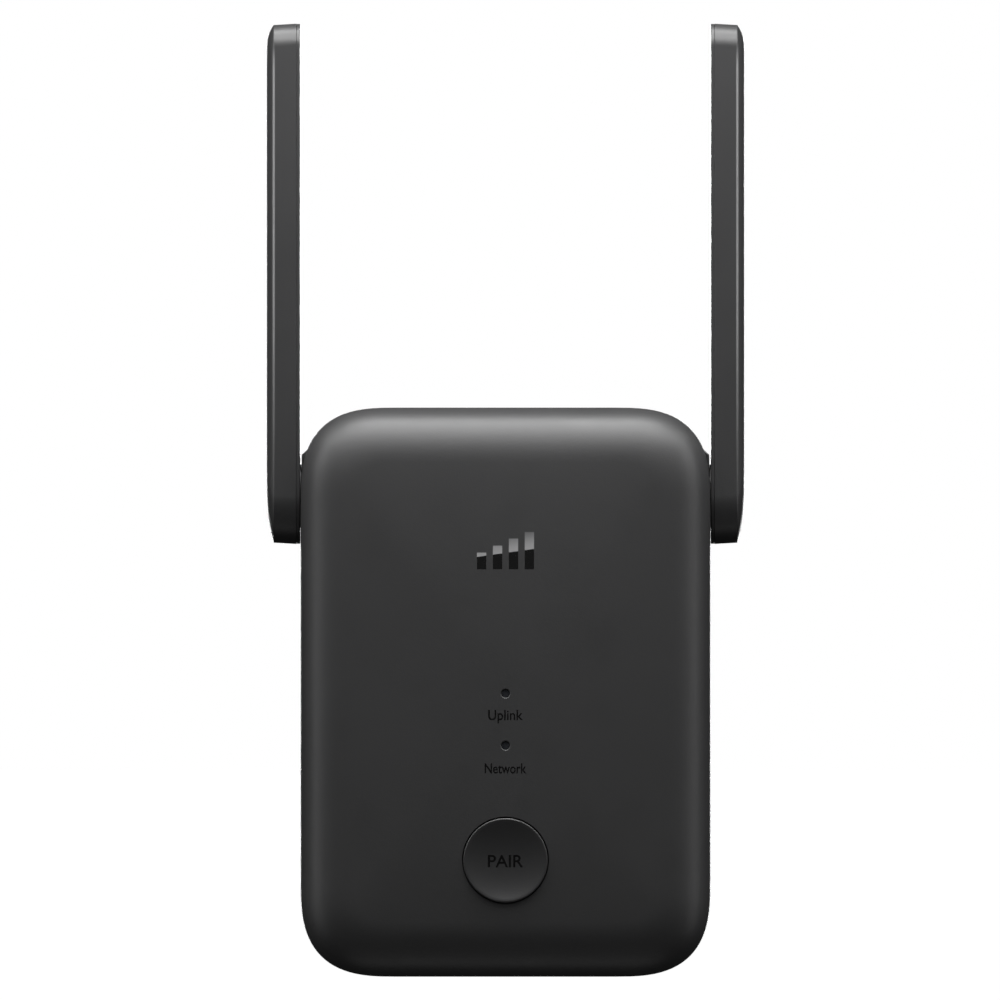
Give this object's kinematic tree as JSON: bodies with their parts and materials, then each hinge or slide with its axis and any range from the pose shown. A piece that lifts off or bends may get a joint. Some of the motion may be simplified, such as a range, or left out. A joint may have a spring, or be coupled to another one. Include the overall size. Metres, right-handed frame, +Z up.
{
  "type": "wifi range extender",
  "caption": "Plug-in wireless range extender: rounded wall housing with a round push button, two lamps, a network socket and two folding blade antennas.",
  "frame": {"origin": "centre of the flat end of the round plug pedestal, between the two pins", "axes": "+Y out of the back along the plug pins, towards the wall; +Z up, along the raised antennas; +X to the right for someone facing the front"},
  "size_m": [0.0954, 0.067, 0.1903],
  "materials": {
    "shell_black": "fine textured matte black ABS",
    "blade_black": "fine textured matte black ABS",
    "button_black": "satin black",
    "dark_plastic": "black moulding",
    "label_grey": "blank printed film",
    "pin_nickel": "nickel plated",
    "screw_steel": "zinc plated",
    "sheet_aluminium": "plain",
    "contact_gold": "gold plated",
    "board_green": "solder mask",
    "chip_black": "moulded epoxy",
    "white_plastic": "natural",
    "clear_plastic": "clear",
    "ferrite_grey": "sintered",
    "tape_yellow": "polyester tape",
    "capacitor_sleeve": "shrink sleeve",
    "capacitor_blue": "dipped resin",
    "silicone_grey": "matte",
    "wire_brown": "insulated wire",
    "wire_blue": "insulated wire",
    "coax_grey": "insulated coaxial wire"
  },
  "bodies": {
    "body": {"front_cover": "shell_black", "rear_cover": "shell_black", "rating_label": "label_grey", "case_screw_left": "screw_steel", "case_screw_right": "screw_steel", "plug_pin_left": "pin_nickel", "plug_pin_right": "pin_nickel", "pin_sleeve_left": "dark_plastic", "pin_sleeve_right": "dark_plastic", "pin_carrier": "white_plastic", "carrier_screw_upper": "screw_steel", "carrier_screw_lower": "screw_steel", "mains_lead_left": "wire_brown", "mains_lead_right": "wire_blue", "main_board": "board_green", "main_board_screw_left": "screw_steel", "main_board_screw_right": "screw_steel", "wifi_chip": "chip_black", "memory_chip": "chip_black", "shield_can": "sheet_aluminium", "thermal_pad": "silicone_grey", "heatsink": "sheet_aluminium", "jack_body": "dark_plastic", "jack_contacts": "contact_gold", "ethernet_transformer": "chip_black", "led_upper": "white_plastic", "led_lower": "white_plastic", "light_pipe": "clear_plastic", "pair_switch_body": "chip_black", "reset_switch_body": "chip_black", "power_board": "board_green", "power_board_screw_left": "screw_steel", "power_board_screw_right": "screw_steel", "transformer_core": "ferrite_grey", "transformer_winding": "tape_yellow", "bulk_capacitor_left": "capacitor_sleeve", "bulk_capacitor_right": "capacitor_sleeve", "output_capacitor": "capacitor_sleeve", "line_inductor": "ferrite_grey", "fuse": "white_plastic", "y_capacitor": "capacitor_blue", "rectifier": "chip_black", "power_chip": "chip_black", "dc_header": "chip_black", "insulator_sheet": "white_plastic", "coax_left": "coax_grey", "coax_right": "coax_grey"},
    "pair_button": {"pair_button": "button_black"},
    "pair_switch": {"pair_switch_plunger": "dark_plastic"},
    "reset_switch": {"reset_switch_plunger": "dark_plastic"},
    "antenna_left": {"antenna_left_shell": "blade_black", "antenna_left_base": "blade_black", "antenna_left_friction_ring": "silicone_grey", "antenna_left_element": "board_green", "antenna_left_lead": "coax_grey"},
    "antenna_right": {"antenna_right_shell": "blade_black", "antenna_right_base": "blade_black", "antenna_right_friction_ring": "silicone_grey", "antenna_right_element": "board_green", "antenna_right_lead": "coax_grey"}
  },
  "joints": [
    {"name": "antenna_left_fold", "type": "hinge", "parent": "body", "child": "antenna_left", "pos_m": [-0.0409, -0.029, 0.0319], "axis": [1, 0, 0], "range_deg": [0, 180]},
    {"name": "antenna_right_fold", "type": "hinge", "parent": "body", "child": "antenna_right", "pos_m": [0.0409, -0.029, 0.0319], "axis": [1, 0, 0], "range_deg": [0, 180]},
    {"name": "pair_button_press", "type": "slide", "parent": "body", "child": "pair_button", "axis": [0, 1, 0], "range_m": [0, 0.0004], "stiffness_N_per_m": 400},
    {"name": "pair_switch_press", "type": "slide", "parent": "body", "child": "pair_switch", "axis": [0, 1, 0], "range_m": [0, 0.00045]},
    {"name": "reset_switch_press", "type": "slide", "parent": "body", "child": "reset_switch", "axis": [0, 0, 1], "range_m": [0, 0.0003], "stiffness_N_per_m": 400}
  ],
  "couplings": [
    {"joint": "pair_switch_press", "follows": "pair_button_press", "ratio": 1}
  ]
}
